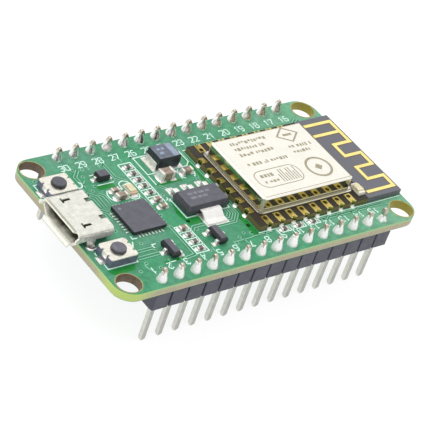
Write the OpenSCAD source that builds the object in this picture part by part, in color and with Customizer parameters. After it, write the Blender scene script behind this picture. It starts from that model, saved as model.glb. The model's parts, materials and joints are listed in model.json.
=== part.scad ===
// Wi-Fi microcontroller dev board: a green circuit board with two 15-pin headers, a
// shielded radio module, a micro USB receptacle, two push switches and a regulator.
// The origin is the centre of the four mounting holes, on the board's underside.
// +X points from the USB end to the antenna end, +Z up through the component side.

/* [Board] */
// Length of the circuit board, along X
board_l = 48; // [47.8:0.1:50]
// Width of the circuit board, along Y
board_w = 25.2; // [25.1:0.1:27]
// Thickness of the circuit board
board_t = 1.2; // [1:0.1:1.6]
// Radius of the board's corners
board_corner_r = 2.5; // [1:0.1:3.5]
// Radius of the four mounting holes
hole_r = 1.6; // [1:0.05:1.6]
// Distance from the board's edges to a mounting hole's centre
hole_inset = 2; // [1.9:0.1:2.2]

/* [Headers] */
// Number of pins in each header
pin_count = 15; // [4:1:15]
// Distance between the two header rows
row_gap = 22.86; // [22.6:0.01:23]
// Width of a square pin
pin_w = 0.64; // [0.5:0.01:0.66]
// Whole length of a pin
pin_l = 11.5; // [9:0.1:15]
// Length of a pin above the board
pin_above = 1.9; // [1.5:0.1:3]
// Height of the black header strip
strip_h = 2.4; // [1.5:0.1:2.6]
// Width of the black header strip
strip_w = 2.4; // [2:0.1:2.5]

/* [Radio module] */
// Length of the radio module's board
module_l = 24; // [23.5:0.1:24.2]
// Width of the radio module's board
module_w = 16; // [15.5:0.1:16.2]
// Thickness of the radio module's board
module_t = 0.8; // [0.6:0.1:1]
// Length of the shield can
can_l = 15; // [14.8:0.1:15.6]
// Width of the shield can
can_w = 11.7; // [11.6:0.1:11.9]
// Height of the shield can
can_h = 2.2; // [2.1:0.1:3]

/* [USB receptacle] */
// Width of the steel shell
usb_w = 7.5; // [7.3:0.1:7.8]
// Height of the steel shell
usb_h = 2.35; // [2.3:0.05:2.6]
// Length of the steel shell behind its flared lips
usb_l = 5; // [4.8:0.1:5.2]
// Thickness of the steel sheet
usb_wall = 0.25; // [0.2:0.01:0.3]

/* [Push switches] */
// Length of a switch's body, along X
switch_l = 3.9; // [3.8:0.1:4.2]
// Width of a switch's body, along Y
switch_w = 3.1; // [3.1:0.1:3.3]
// Height of the switch's steel cover
switch_h = 1.2; // [1.2:0.05:1.6]
// Radius of the push button
button_r = 0.95; // [0.6:0.05:0.95]
// Height of the button above the steel cover
button_rise = 0.4; // [0.35:0.05:1.5]
// Travel of the button
button_travel = 0.25; // [0.1:0.05:0.25]

/* [Hidden] */

$fn = 48;
eps = 0.01;
pitch = 2.54;
top = board_t;
hole_x = board_l / 2 - hole_inset;
hole_y = board_w / 2 - hole_inset;
row_y = row_gap / 2;
pin_hole_r = 0.5;
notch_w = 0.28;
notch_depth = 0.5;
face_half = (pitch - notch_w) / 2;

// The radio module sits almost flush with the board's antenna end.
module_x = board_l / 2 - 0.2 - module_l / 2;
module_y = -0.1;
module_top = top + module_t;
module_left = module_x - module_l / 2;
can_inset = 1.5;
can_x = module_left + can_inset + can_l / 2;
can_y = module_y;
can_wall = 0.2;
can_rim = 0.4;
can_bevel = 0.25;
pad_pitch = 2;
side_pad_count = 8;
end_pad_count = 6;
side_pad_x = module_left + 1.55;
side_pad_gap = 0.15;
side_pad_l = (module_w - can_w) / 2 - can_rim - side_pad_gap;
end_pad_l = 0.95;
pad_hole_r = 0.3;
pad_hole_inset = 1.15;
castellation_r = 0.35;
pad_t = 0.05;

// The USB receptacle overhangs the board's edge.
usb_front = -board_l / 2 - 1;
usb_lip = 0.6;
usb_leg_x = usb_front + 2.1;
usb_leg_y = usb_w / 2 - 0.15;
usb_leg_hole_r = 0.55;
usb_leg_w = 0.8;
usb_shoulder_w = 1.1;
usb_shoulder_z = 0.3;
usb_contact_pitch = 0.65;
usb_contact_w = 0.32;
usb_tongue_x = 1.3;
usb_tongue_w = 4.2;
usb_tongue_z = 1.15;
usb_tongue_t = 0.55;
usb_latch_x = 1.9;
usb_latch_y = 2.35;
usb_notch_y = 1.6;

switch_x = -board_l / 2 + 2.85;
switch_y = 6.3;
switch_terminal_l = 0.6;
cover_t = 0.15;
cavity_r = 1.3;
cavity_floor = 0.35;
tongue_w = 0.9;
relief_r = 0.17;
cover_drop = 0.45;
dome_r = 1.2;
dome_rise = 0.27;
dome_t = 0.07;
flash_shift = [0.35, 0.15, 0];
button_gap = 0.05;
button_play = 0.04;

bridge_pos = [-14.1, -1.25];
bridge_size = 5;
bridge_h = 0.5;
bridge_pitch = 0.5;
bridge_pads = 8;
bridge_pad_l = 1.1;
bridge_pad_w = 0.22;
bridge_pad_t = 0.1;
bridge_heat_pad = 3.3;
regulator_pos = [-4.55, -1.25];
regulator_l = 6.5;
regulator_w = 3.5;
regulator_h = 1.4;
regulator_waist = 0.75;
regulator_draft = 0.28;
regulator_pitch = 2.3;
regulator_lead_t = 0.25;
regulator_tab_w = 3;
regulator_tab_l = 2.2;
tantalum_pos = [-4.6, 7.05];
bulk_pos = [-5.95, 4.35];
diode_pos = [-14.3, 6.6];
transistor_left_pos = [-13.75, -7.5];
transistor_right_pos = [-6.35, -7.3];
transistor_w = 1.25;
power_led_pos = [-12, 3.5];
module_led_pos = [17.35, -6.4];

// A lane of small parts beside the bridge chip, and a short row beside the module.
lane_x = -9.7;
lane_resistors_y = [7.4, 6.15, 4.95, 3.75, 2.4, -5.85, -7.1, -8.35];
lane_capacitors_y = [0.95, -0.35, -4.6];
row_x = 3.3;
row_step = 2.4;
small_row_y = -8.8;

// Chip sizes: [length, width, height, length of a metal end]
size_0402 = [1, 0.5, 0.35, 0.22];
size_0402_tall = [1.1, 0.6, 0.5, 0.22];
size_0603 = [1.6, 0.8, 0.7, 0.3];
size_0805 = [2, 1.25, 1.2, 0.4];

// Every small chip is [x, y, size].
resistors = [
    for (y = lane_resistors_y) [lane_x, y, size_0402],
    for (i = [0:2]) [row_x + i * row_step, small_row_y, size_0402]
];
capacitors = [
    for (y = lane_capacitors_y) [lane_x, y, size_0402_tall],
    [-14, 4, size_0402_tall],
    [-13.9, 2.75, size_0603],
    [-2.6, 4.35, size_0603]
];

// Points of an arc, as [x, y], from angle a0 to a1.
function arc(cx, cy, r, a0, a1, n = 6) =
    [for (i = [0:n]) [cx + r * cos(a0 + (a1 - a0) * i / n), cy + r * sin(a0 + (a1 - a0) * i / n)]];

// ---------- shared shapes ----------

module rounded_rect(l, w, r) {
    square([l - 2 * r, w], center = true);
    square([l, w - 2 * r], center = true);
    for (sx = [-1, 1], sy = [-1, 1])
        translate([sx * (l / 2 - r), sy * (w / 2 - r)]) circle(r);
}

module block(l, w, h) {
    translate([-l / 2, -w / 2, 0]) cube([l, w, h]);
}

// A shape drawn in the XZ plane and given a width along Y.
module slab_xz(points, w) {
    rotate([90, 0, 0]) translate([0, 0, -w / 2]) linear_extrude(w) polygon(points);
}

// A shape drawn in the YZ plane and given a length along X.
module slab_yz(points, l) {
    rotate([90, 0, 90]) translate([0, 0, -l / 2]) linear_extrude(l) polygon(points);
}

// A moulded case with sloping sides, widest at the height called waist.
module moulded_case(l, w, h, waist, slope) {
    function side(s) = [
        [-s / 2 + slope / 2, 0], [s / 2 - slope / 2, 0], [s / 2, waist],
        [s / 2 - slope, h], [-s / 2 + slope, h], [-s / 2, waist]
    ];
    intersection() {
        slab_xz(side(l), w + 1);
        slab_yz(side(w), l + 1);
    }
}

// A gull-wing lead that leaves a case at x = 0 and height z, slopes down over the length
// called run, and stands on the board.
module gull_lead(w, reach, z, t, run) {
    heel = reach * 0.55;
    slab_xz([
        [0, z - t / 2], [heel - run, z - t / 2], [heel, 0], [reach, 0],
        [reach, t], [heel + t * 0.6, t], [heel - run + t * 0.8, z + t / 2], [0, z + t / 2]
    ], w);
}

// The metal ends of a chip part.
module chip_ends(size) {
    for (s = [0, 180]) rotate(s)
        translate([size[0] / 2 - size[3], -size[1] / 2, 0]) cube([size[3], size[1], size[2]]);
}

module chip_middle(size) {
    block(size[0] - 2 * size[3], size[1] * 0.96, size[2] * 0.96);
}

// A wedge of solder against each end of a chip part.
module chip_solder(size) {
    rise = size[2] * 0.7;
    for (s = [0, 180]) rotate(s)
        slab_xz([[size[0] / 2, 0], [size[0] / 2 + 0.35, 0], [size[0] / 2, rise]], size[1]);
}

module at_board(pos) {
    translate([pos[0], pos[1], top]) children();
}

// ---------- main board ----------

module main_board() {
    color("seagreen") linear_extrude(board_t) difference() {
        rounded_rect(board_l, board_w, board_corner_r);
        for (sx = [-1, 1], sy = [-1, 1])
            translate([sx * hole_x, sy * hole_y]) circle(hole_r);
        for (sy = [-1, 1], i = [0:pin_count - 1])
            translate([pin_x(i), sy * row_y]) circle(pin_hole_r);
        for (sy = [-1, 1])
            translate([usb_leg_x, sy * usb_leg_y]) circle(usb_leg_hole_r);
    }
}

// ---------- headers ----------

function pin_x(i) = (i - (pin_count - 1) / 2) * pitch;

// One long side of the strip's outline: a notch at each break between pins.
function notched_side(s) = [
    for (i = [0:pin_count - 1])
        for (p = [[-pitch / 2, notch_depth], [-face_half, 0], [face_half, 0]])
            [pin_x(i) + p[0], s * (strip_w / 2 - p[1])],
    [pin_x(pin_count - 1) + pitch / 2, s * (strip_w / 2 - notch_depth)]
];

function reversed(list) = [for (i = [len(list) - 1:-1:0]) list[i]];

module header_strip(side) {
    color("dimgray") translate([0, side * row_y, -strip_h]) linear_extrude(strip_h) difference() {
        polygon(concat(notched_side(-1), reversed(notched_side(1))));
        for (i = [0:pin_count - 1])
            translate([pin_x(i), 0]) square(pin_w, center = true);
    }
}

// A square pin with a short taper at each end.
module header_pin() {
    z0 = top + pin_above - pin_l;
    z1 = top + pin_above;
    taper = 0.4;
    tip = pin_w * 0.28;
    outline = [
        [-tip, z0], [tip, z0], [pin_w / 2, z0 + taper], [pin_w / 2, z1 - taper],
        [tip, z1], [-tip, z1], [-pin_w / 2, z1 - taper], [-pin_w / 2, z0 + taper]
    ];
    intersection() {
        slab_xz(outline, pin_w);
        slab_yz(outline, pin_w);
    }
}

module header_pins(side) {
    color("lightgoldenrodyellow")
        for (i = [0:pin_count - 1]) translate([pin_x(i), side * row_y, 0]) header_pin();
}

// A solder joint: it fills the hole round the pin and climbs the pin in a hollow curve.
module solder_joint() {
    foot_r = 0.9;
    climb = 1.35;
    neck_r = pin_w * 0.75;
    curve = [for (i = [0:6]) let (a = 90 * i / 6)
        [foot_r - (foot_r - neck_r) * sin(a), 0.12 + climb * (1 - cos(a))]];
    difference() {
        union() {
            rotate_extrude() polygon(concat([[0, 0], [foot_r, 0]], curve, [[0, 0.12 + climb]]));
            translate([0, 0, -board_t]) cylinder(r = pin_hole_r, h = board_t + eps);
        }
        translate([-pin_w / 2, -pin_w / 2, -board_t - 1]) cube([pin_w, pin_w, board_t + 4]);
    }
}

module header_solder(side) {
    color("silver")
        for (i = [0:pin_count - 1]) translate([pin_x(i), side * row_y, top]) solder_joint();
}

// ---------- radio module ----------

// Runs its children at each pad of the radio module, with +X pointing off the edge.
module at_pads() {
    for (i = [0:side_pad_count - 1], s = [-1, 1])
        translate([side_pad_x + i * pad_pitch, module_y + s * module_w / 2, top])
            rotate(s * 90) children(0);
    for (i = [0:end_pad_count - 1])
        translate([module_left, module_y + (i - (end_pad_count - 1) / 2) * pad_pitch, top])
            rotate(180) children(1);
}

module castellation(r) {
    translate([0, 0, -eps]) cylinder(r = r, h = module_t + 2 * eps, $fn = 24);
}

module module_board() {
    color("darkslategray") difference() {
        translate([module_x, module_y, top]) block(module_l, module_w, module_t);
        at_pads() {
            union() {
                castellation(castellation_r);
                translate([-pad_hole_inset, 0, 0]) castellation(pad_hole_r);
            }
            castellation(castellation_r);
        }
    }
}

// One plated pad, length long, with its half hole in the module's edge.
module plated_pad(length, holed) {
    difference() {
        union() {
            translate([-length, -0.5, module_t]) cube([length, 1, pad_t]);
            intersection() {
                cylinder(r = castellation_r, h = module_t, $fn = 24);
                translate([-1, -0.5, 0]) cube([1, 1, module_t]);
            }
        }
        translate([0, 0, -eps]) cylinder(r = castellation_r - 0.07, h = module_t + 1, $fn = 24);
        if (holed) translate([-pad_hole_inset, 0, module_t - eps]) cylinder(r = pad_hole_r, h = 1, $fn = 24);
    }
}

module module_pads() {
    color("gold") at_pads() {
        plated_pad(side_pad_l, true);
        plated_pad(end_pad_l, false);
    }
}

// The printed aerial: two feeds from the can, then a meander along the module's end.
module module_antenna() {
    trace_w = 0.5;
    right = module_x + module_l / 2 - 0.5;
    left = right - 2.8;
    feed = right - 4.3;
    step = 2.4;
    first = module_y + 6.75;
    second = module_y + 4.6;
    turn = module_y + 2.4;
    path = [
        [feed, first], [right, first], [right, turn], [left, turn], [left, turn - step],
        [right, turn - step], [right, turn - 2 * step], [left, turn - 2 * step],
        [left, turn - 3 * step], [right, turn - 3 * step], [right, turn - 3.9 * step],
        [feed - 0.2, turn - 3.9 * step]
    ];
    color("gold") translate([0, 0, module_top]) linear_extrude(pad_t) union() {
        for (i = [0:len(path) - 2]) trace(path[i], path[i + 1], trace_w);
        trace([feed, second], [right, second], trace_w);
    }
}

// A straight copper line between two points, along X or along Y.
module trace(a, b, w) {
    low = [min(a[0], b[0]) - w / 2, min(a[1], b[1]) - w / 2];
    translate(low) square([abs(a[0] - b[0]) + w, abs(a[1] - b[1]) + w]);
}

module module_solder() {
    fillet = [[eps, 0], [0.4, 0], [0.25, 0.12], [0.12, 0.35], [eps, 0.6]];
    color("silver") at_pads() {
        slab_xz(fillet, 0.8);
        slab_xz(fillet, 0.8);
    }
}

module module_shield() {
    function bevelled(s) = [
        [-s / 2, 0], [s / 2, 0], [s / 2, can_h - can_bevel], [s / 2 - can_bevel, can_h],
        [-s / 2 + can_bevel, can_h], [-s / 2, can_h - can_bevel]
    ];
    color("lightgray") translate([can_x, can_y, module_top]) difference() {
        union() {
            intersection() {
                linear_extrude(can_h) rounded_rect(can_l, can_w, 0.5);
                slab_xz(bevelled(can_l), can_w + 1);
                slab_yz(bevelled(can_w), can_l + 1);
            }
            linear_extrude(can_wall) rounded_rect(can_l + 2 * can_rim, can_w + 2 * can_rim, 0.6);
        }
        translate([0, 0, -eps]) linear_extrude(can_h - can_wall)
            rounded_rect(can_l - 2 * can_wall, can_w - 2 * can_wall, 0.3);
    }
}

module module_processor() {
    color("dimgray") translate([can_x + 3.4, can_y - 1.5, module_top]) block(5, 5, 0.85);
}

module module_flash_chip() {
    color("dimgray") translate([can_x - 3.7, can_y, module_top + 0.1])
        moulded_case(5.2, 5.2, 1.7, 0.8, 0.15);
}

module module_flash_leads() {
    color("silver") translate([can_x - 3.7, can_y, module_top])
        for (s = [-1, 1], i = [0:3])
            translate([(i - 1.5) * 1.27, s * 2.6, 0]) rotate(s * 90) gull_lead(0.4, 1.1, 0.9, 0.15, 0.15);
}

module module_crystal() {
    color("silver") translate([can_x + 3.4, can_y + 3.6, module_top]) block(3.2, 2.5, 0.75);
}

module module_passives() {
    color("tan") translate([can_x, can_y, module_top]) {
        for (i = [0:4]) translate([-0.05, -3.6 + i * 1.6, 0]) block(0.5, 1, 0.4);
        for (i = [0:2]) translate([6.65, -3 + i * 1.5, 0]) block(0.5, 1, 0.4);
        for (i = [0:1]) translate([0.6 + i * 5.9, 4.6, 0]) block(0.5, 1, 0.4);
    }
}

module led_base(l, w, h) {
    block(l, w, h * 0.4);
    chip_ends([l, w, h * 0.75, l * 0.16]);
}

module led_lens(l, w, h) {
    translate([0, 0, h * 0.4]) block(l * 0.68, w * 0.94, h * 0.6);
}

module module_led_base() {
    color("white") translate([module_led_pos[0], module_led_pos[1], module_top])
        rotate(90) led_base(1.9, 1, 0.7);
}

module module_led_lens() {
    color("azure") translate([module_led_pos[0], module_led_pos[1], module_top])
        rotate(90) led_lens(1.9, 1, 0.7);
}

// ---------- USB receptacle ----------

// The shell's section, inset by t: flat on top, with its lower corners cut away.
function usb_section(t) = let (half = usb_w / 2 - t, r = 0.55 - t, cut = 0.85, waist = 1.1)
    concat(
        [[-half, waist + t * 0.3], [-half + cut, t], [half - cut, t], [half, waist + t * 0.3]],
        arc(half - r, usb_h - t - r, r, 0, 90),
        arc(-half + r, usb_h - t - r, r, 90, 180)
    );

// Where the receptacle's own frame is: x = 0 at the mouth, running back along +X.
module at_usb() {
    translate([usb_front, 0, top]) children();
}

module usb_shell() {
    color("gainsboro") at_usb() {
        difference() {
            translate([usb_l / 2, 0, 0]) slab_yz(usb_section(0), usb_l);
            translate([usb_l / 2, 0, 0]) slab_yz(usb_section(usb_wall), usb_l + 1);
            for (s = [-1, 1]) {
                // T-shaped windows for the plug's hooks
                translate([usb_latch_x, s * usb_latch_y, usb_h]) cube([1.3, 0.4, 2], center = true);
                translate([usb_latch_x - 0.5, s * usb_latch_y, usb_h])
                    cube([0.3, 0.9, 2], center = true);
                // Notches in the rear edge
                translate([usb_l, s * usb_notch_y, usb_h]) cube([1.6, 0.7, 1], center = true);
            }
        }
        usb_lips();
        for (s = [-1, 1]) usb_leg(s);
    }
}

// The flared lips round the mouth.
module usb_lips() {
    flare = 0.28;
    w = usb_wall;
    slab_xz([[0, usb_h - w], [0, usb_h], [-usb_lip, usb_h + flare], [-usb_lip, usb_h + flare - w]],
        usb_w - 1.3);
    slab_xz([[0, 0], [0, w], [-usb_lip, w - flare], [-usb_lip, -flare]], usb_w - 2.2);
    for (s = [-1, 1]) scale([1, s, 1])
        translate([0, 0, 1.25]) linear_extrude(0.5)
            polygon([[0, usb_w / 2 - w], [0, usb_w / 2],
                [-usb_lip, usb_w / 2 + flare], [-usb_lip, usb_w / 2 + flare - w]]);
}

// A leg that drops from the shell's side, narrows and passes through the board.
module usb_leg(s) {
    shoulder_h = 1.2;
    below = 0.3;
    translate([usb_leg_x - usb_front, s * usb_leg_y, 0]) {
        translate([0, 0, usb_shoulder_z]) block(usb_shoulder_w, usb_wall, shoulder_h);
        translate([0, 0, -board_t - below])
            block(usb_leg_w, usb_wall, board_t + below + usb_shoulder_z + eps);
    }
}

module usb_insulator() {
    color("darkslategray") at_usb() difference() {
        union() {
            translate([usb_l - 0.8, 0, 0]) slab_yz(usb_section(usb_wall), 1.4);
            translate([usb_tongue_x, -usb_tongue_w / 2, usb_tongue_z])
                cube([usb_l - usb_tongue_x - 0.5, usb_tongue_w, usb_tongue_t]);
        }
        for (i = [-2:2]) translate([0, i * usb_contact_pitch - usb_contact_w / 2, 0]) usb_contact_slot();
    }
}

module usb_contact_slot() {
    translate([usb_tongue_x - 0.1, 0, usb_tongue_z - 0.5]) cube([usb_l, usb_contact_w, 0.6]);
}

module usb_contacts() {
    t = 0.1;
    z = usb_tongue_z + t;
    front = usb_tongue_x + 0.2;
    color("gold") at_usb() for (i = [-2:2]) translate([0, i * usb_contact_pitch, 0])
        slab_xz([
            [front, z], [usb_l + 0.1, z], [usb_l + 0.35, t], [usb_l + 0.9, t], [usb_l + 0.9, 0],
            [usb_l + 0.25, 0], [usb_l, z - t], [front, z - t]
        ], usb_contact_w);
}

module usb_leg_solder() {
    color("silver") for (s = [-1, 1]) translate([usb_leg_x, s * usb_leg_y, top]) difference() {
        union() {
            intersection() {
                cylinder(r1 = 0.85, r2 = 0.5, h = 0.35);
                translate([-1, s > 0 ? -0.12 : -1, -eps]) cube([2, 1.12, 1]);
            }
            translate([0, 0, -board_t]) cylinder(r = usb_leg_hole_r, h = board_t);
        }
        translate([0, 0, -board_t - 1]) block(usb_leg_w, usb_wall, board_t + 1 + usb_shoulder_z);
        translate([0, 0, usb_shoulder_z]) block(usb_shoulder_w, usb_wall, 1);
    }
}

// ---------- push switches ----------

// side is 1 for the reset switch at the back and -1 for the flash switch at the front.
module at_switch(side) {
    translate([switch_x, side * switch_y, top] + (side < 0 ? flash_shift : [0, 0, 0])) children();
}

module switch_base(side) {
    color("slategray") at_switch(side) difference() {
        block(switch_l, switch_w, switch_h - cover_t);
        translate([0, 0, cavity_floor]) cylinder(r = cavity_r, h = switch_h);
        for (s = [-1, 1])
            translate([s * switch_l / 2, 0, cover_drop]) block(2 * cover_t, tongue_w, switch_h);
    }
}

module switch_cover(side) {
    color("gainsboro") at_switch(side) {
        translate([0, 0, switch_h - cover_t]) linear_extrude(cover_t) difference() {
            rounded_rect(switch_l, switch_w, 0.3);
            circle(button_r + button_gap);
            for (sx = [-1, 1], sy = [-1, 1])
                translate([sx * (switch_l / 2 - 0.1), sy * (tongue_w / 2 + relief_r)]) circle(relief_r);
        }
        for (s = [-1, 1])
            translate([s * (switch_l - cover_t) / 2, 0, cover_drop])
                block(cover_t, tongue_w, switch_h - cover_drop - cover_t / 2);
    }
}

module switch_button(side) {
    flange_top = switch_h - cover_t - button_play;
    nub = cavity_floor + dome_rise + button_play;
    color("dimgray") at_switch(side) {
        translate([0, 0, flange_top - 0.3]) cylinder(r = cavity_r - 0.08, h = 0.3);
        translate([0, 0, flange_top - eps])
            cylinder(r = button_r, h = switch_h + button_rise - flange_top - 0.1 + eps);
        translate([0, 0, switch_h + button_rise - 0.1])
            cylinder(r1 = button_r, r2 = button_r - 0.1, h = 0.1);
        translate([0, 0, nub]) cylinder(r = 0.4, h = flange_top - nub - 0.1);
    }
}

// The sprung steel disc that snaps under the button.
module switch_dome(side) {
    ball_r = (dome_r * dome_r + dome_rise * dome_rise) / (2 * dome_rise);
    color("silver") at_switch(side) translate([0, 0, cavity_floor]) intersection() {
        translate([0, 0, dome_rise - ball_r]) difference() {
            sphere(ball_r, $fn = 96);
            sphere(ball_r - dome_t, $fn = 96);
        }
        cylinder(r = dome_r, h = 1);
    }
}

module switch_terminals(side) {
    color("silver") at_switch(side)
        for (s = [-1, 1]) translate([s * (switch_l + switch_terminal_l) / 2, 0, 0])
            block(switch_terminal_l, 1, 0.18);
}

// ---------- chips ----------

module usb_bridge_chip() {
    color("dimgray") at_board(bridge_pos) translate([0, 0, bridge_pad_t])
        block(bridge_size, bridge_size, bridge_h);
}

module usb_bridge_pads() {
    color("silver") at_board(bridge_pos) {
        for (a = [0:90:270], i = [0:bridge_pads - 1]) rotate(a)
            translate([bridge_size / 2, (i - (bridge_pads - 1) / 2) * bridge_pitch, 0])
                block(bridge_pad_l, bridge_pad_w, bridge_pad_t);
        block(bridge_heat_pad, bridge_heat_pad, bridge_pad_t);
    }
}

module regulator_body() {
    color("dimgray") at_board(regulator_pos) translate([0, 0, 0.05])
        moulded_case(regulator_l, regulator_w, regulator_h, regulator_waist, regulator_draft);
}

module regulator_leads() {
    t = regulator_lead_t;
    color("silver") at_board(regulator_pos) {
        for (i = [-1:1]) translate([i * regulator_pitch, regulator_w / 2, 0])
            rotate(90) gull_lead(0.72, 1.75, regulator_waist, t, t);
        // The wide tab that carries the heat away
        translate([0, -regulator_w / 2, 0]) rotate(-90)
            gull_lead(regulator_tab_w, regulator_tab_l, regulator_waist, t, 0.9);
    }
}

module tantalum_body() {
    color("dimgray") at_board(tantalum_pos) translate([0, 0, 0.1])
        moulded_case(3.5, 2.8, 1.8, 0.9, 0.12);
}

module tantalum_terminals() {
    color("silver") at_board(tantalum_pos) for (s = [0, 180]) rotate(s) slab_xz([
        [0.95, 0], [1.9, 0], [1.9, 1.05], [1.76, 1.05], [1.76, 0.1], [0.95, 0.1]
    ], 2.2);
}

// Runs its children at each lead of a three-lead transistor: two leads on the side that
// the angle turn points to, and one on the other.
module at_transistor_leads(turn) {
    rotate(turn) {
        for (s = [-1, 1]) translate([transistor_w / 2, s * 0.95, 0]) children();
        rotate(180) translate([transistor_w / 2, 0, 0]) children();
    }
}

module transistor_body(pos) {
    color("dimgray") at_board(pos) translate([0, 0, 0.08])
        moulded_case(transistor_w, 2.75, 0.95, 0.5, 0.2);
}

module transistor_leads(pos, turn) {
    color("silver") at_board(pos) at_transistor_leads(turn)
        gull_lead(0.42, 0.65, 0.58, 0.12, 0.12);
}

module diode_body() {
    color("dimgray") at_board(diode_pos) translate([0, 0, 0.05]) moulded_case(1.7, 1.3, 0.95, 0.45, 0.1);
}

module diode_leads() {
    color("silver") at_board(diode_pos) for (s = [0, 180]) rotate(s)
        translate([0.85, 0, 0]) gull_lead(0.4, 0.5, 0.5, 0.12, 0.12);
}

// ---------- passives ----------

module bulk_capacitor_body() {
    color("rosybrown") at_board(bulk_pos) chip_middle(size_0805);
}

module bulk_capacitor_terminals() {
    color("silver") at_board(bulk_pos) chip_ends(size_0805);
}

module chip_bodies(parts, tint) {
    color(tint) for (p = parts) at_board(p) chip_middle(p[2]);
}

module chip_terminals(parts) {
    color("silver") for (p = parts) at_board(p) chip_ends(p[2]);
}

module power_led_base() {
    color("white") at_board(power_led_pos) rotate(90) led_base(1.9, 1, 0.65);
}

module power_led_lens() {
    color("lemonchiffon") at_board(power_led_pos) rotate(90) led_lens(1.9, 1, 0.65);
}

module component_solder() {
    color("silver") {
        for (p = concat(resistors, capacitors)) at_board(p) chip_solder(p[2]);
        at_board(bulk_pos) chip_solder(size_0805);
        at_board(power_led_pos) rotate(90) chip_solder([1.9, 1, 0.4, 0.3]);
    }
}

main_board();
header_strip(-1);  // header_strip_front
header_strip(1);  // header_strip_back
header_pins(-1);  // header_pins_front
header_pins(1);  // header_pins_back
header_solder(-1);  // header_solder_front
header_solder(1);  // header_solder_back
module_board();
module_pads();
module_antenna();
module_solder();
module_shield();
module_processor();
module_flash_chip();
module_flash_leads();
module_crystal();
module_passives();
module_led_base();
module_led_lens();
usb_shell();
usb_insulator();
usb_contacts();
usb_leg_solder();
switch_base(1);  // reset_switch_base
switch_cover(1);  // reset_switch_cover
switch_button(1);  // reset_button
switch_dome(1);  // reset_switch_dome
switch_terminals(1);  // reset_switch_terminals
switch_base(-1);  // flash_switch_base
switch_cover(-1);  // flash_switch_cover
switch_button(-1);  // flash_button
switch_dome(-1);  // flash_switch_dome
switch_terminals(-1);  // flash_switch_terminals
usb_bridge_chip();
usb_bridge_pads();
regulator_body();
regulator_leads();
tantalum_body();
tantalum_terminals();
transistor_body(transistor_left_pos);  // transistor_left_body
transistor_leads(transistor_left_pos, 0);  // transistor_left_leads
transistor_body(transistor_right_pos);  // transistor_right_body
transistor_leads(transistor_right_pos, 180);  // transistor_right_leads
diode_body();
diode_leads();
bulk_capacitor_body();
bulk_capacitor_terminals();
chip_bodies(capacitors, "tan");  // capacitor_bodies
chip_terminals(capacitors);  // capacitor_terminals
chip_bodies(resistors, "dimgray");  // resistor_bodies
chip_terminals(resistors);  // resistor_terminals
power_led_base();
power_led_lens();
component_solder();
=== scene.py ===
import json
import math
import random

import bmesh
import bpy
from mathutils import Matrix, Vector

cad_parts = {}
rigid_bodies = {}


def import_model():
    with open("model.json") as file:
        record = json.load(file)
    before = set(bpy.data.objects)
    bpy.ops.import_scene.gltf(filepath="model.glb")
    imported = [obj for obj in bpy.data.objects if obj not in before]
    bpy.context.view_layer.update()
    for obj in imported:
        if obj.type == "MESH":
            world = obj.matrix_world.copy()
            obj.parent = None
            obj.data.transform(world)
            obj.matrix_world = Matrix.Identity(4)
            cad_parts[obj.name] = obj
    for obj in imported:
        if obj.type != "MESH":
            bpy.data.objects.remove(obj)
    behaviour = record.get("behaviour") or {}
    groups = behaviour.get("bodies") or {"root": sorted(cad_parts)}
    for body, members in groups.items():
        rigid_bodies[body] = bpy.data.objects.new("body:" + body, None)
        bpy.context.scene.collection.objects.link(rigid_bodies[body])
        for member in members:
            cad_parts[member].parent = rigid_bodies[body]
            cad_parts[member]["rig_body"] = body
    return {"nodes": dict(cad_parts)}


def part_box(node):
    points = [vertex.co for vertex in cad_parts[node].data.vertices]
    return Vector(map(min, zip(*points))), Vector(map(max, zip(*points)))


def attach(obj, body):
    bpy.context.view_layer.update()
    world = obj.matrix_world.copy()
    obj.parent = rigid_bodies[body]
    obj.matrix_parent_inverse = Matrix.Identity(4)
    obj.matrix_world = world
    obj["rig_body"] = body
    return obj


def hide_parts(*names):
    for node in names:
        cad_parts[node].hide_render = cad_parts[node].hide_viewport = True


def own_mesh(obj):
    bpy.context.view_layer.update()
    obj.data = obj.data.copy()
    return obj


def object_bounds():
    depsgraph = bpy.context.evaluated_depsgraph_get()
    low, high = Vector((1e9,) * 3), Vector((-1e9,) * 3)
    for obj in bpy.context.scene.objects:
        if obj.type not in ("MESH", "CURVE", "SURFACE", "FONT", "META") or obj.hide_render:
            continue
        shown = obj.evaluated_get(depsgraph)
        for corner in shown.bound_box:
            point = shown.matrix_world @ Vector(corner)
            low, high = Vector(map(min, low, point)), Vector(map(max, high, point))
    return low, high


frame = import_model()
cad_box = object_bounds()

# The board is drawn in millimetres, and each piece is scaled once, when its mesh is made.
MM = 0.001
CAD = frame["nodes"]


def box_mm(node):
    low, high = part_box(node)
    return low / MM, high / MM


BOARD_LOW, BOARD_HIGH = box_mm("main_board")
TOP = BOARD_HIGH.z
MODULE_LOW, MODULE_HIGH = box_mm("module_board")
MODULE_TOP = MODULE_HIGH.z
CAN_LOW, CAN_HIGH = box_mm("module_shield")
USB_LOW, USB_HIGH = box_mm("usb_shell")
# The shell's roof lies below the top of its flared lips.
USB_ROOF = TOP + 2.35
USB_LIP = 0.6
PINS_LOW, PINS_HIGH = box_mm("header_pins_back")
PIN_ROW_Y = (PINS_LOW.y + PINS_HIGH.y) / 2
PIN_COUNT = 15
PIN_PITCH = 2.54
HOLE_R = 1.6
HOLES = [(x, y) for x in (-22, 22) for y in (-10.6, 10.6)]


def pin_x(i):
    return (i - (PIN_COUNT - 1) / 2) * PIN_PITCH


# ---- colours

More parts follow.
